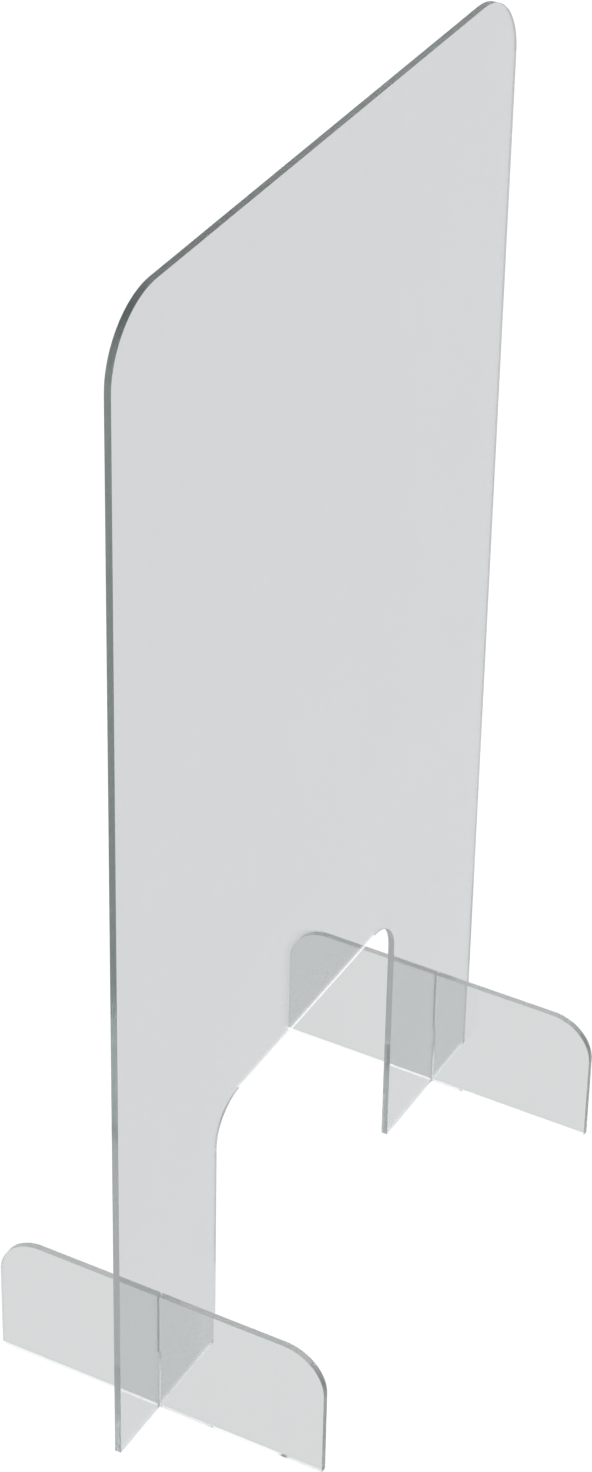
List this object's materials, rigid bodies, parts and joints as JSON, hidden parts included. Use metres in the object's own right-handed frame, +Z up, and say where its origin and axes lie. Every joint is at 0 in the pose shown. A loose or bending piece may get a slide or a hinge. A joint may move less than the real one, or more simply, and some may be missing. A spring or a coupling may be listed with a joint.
{
  "type": "sneeze guard",
  "caption": "Free-standing clear acrylic counter shield with rounded top corners and a pass-through opening, held upright by slotted cross feet.",
  "frame": {"origin": "on the counter, under the middle of the guard", "axes": "+X along the panel's width, towards the right foot; +Y towards the back; +Z up"},
  "size_m": [0.6, 0.295, 1.02],
  "materials": {
    "clear_acrylic": "clear cast sheet, polished faces, smooth cut edges with a grey-green cast"
  },
  "bodies": {
    "left_foot": {"left_foot": "clear_acrylic"},
    "panel": {"shield_panel": "clear_acrylic"},
    "right_foot": {"right_foot": "clear_acrylic"}
  },
  "joints": [
    {"name": "panel_lift", "type": "slide", "parent": "left_foot", "child": "panel", "axis": [0, 0, 1], "range_m": [0, 0.05875]},
    {"name": "right_foot_drop", "type": "slide", "parent": "panel", "child": "right_foot", "axis": [0, 0, -1], "range_m": [0, 0.05875]}
  ],
  "couplings": [
    {"joint": "right_foot_drop", "follows": "panel_lift", "ratio": 1}
  ]
}
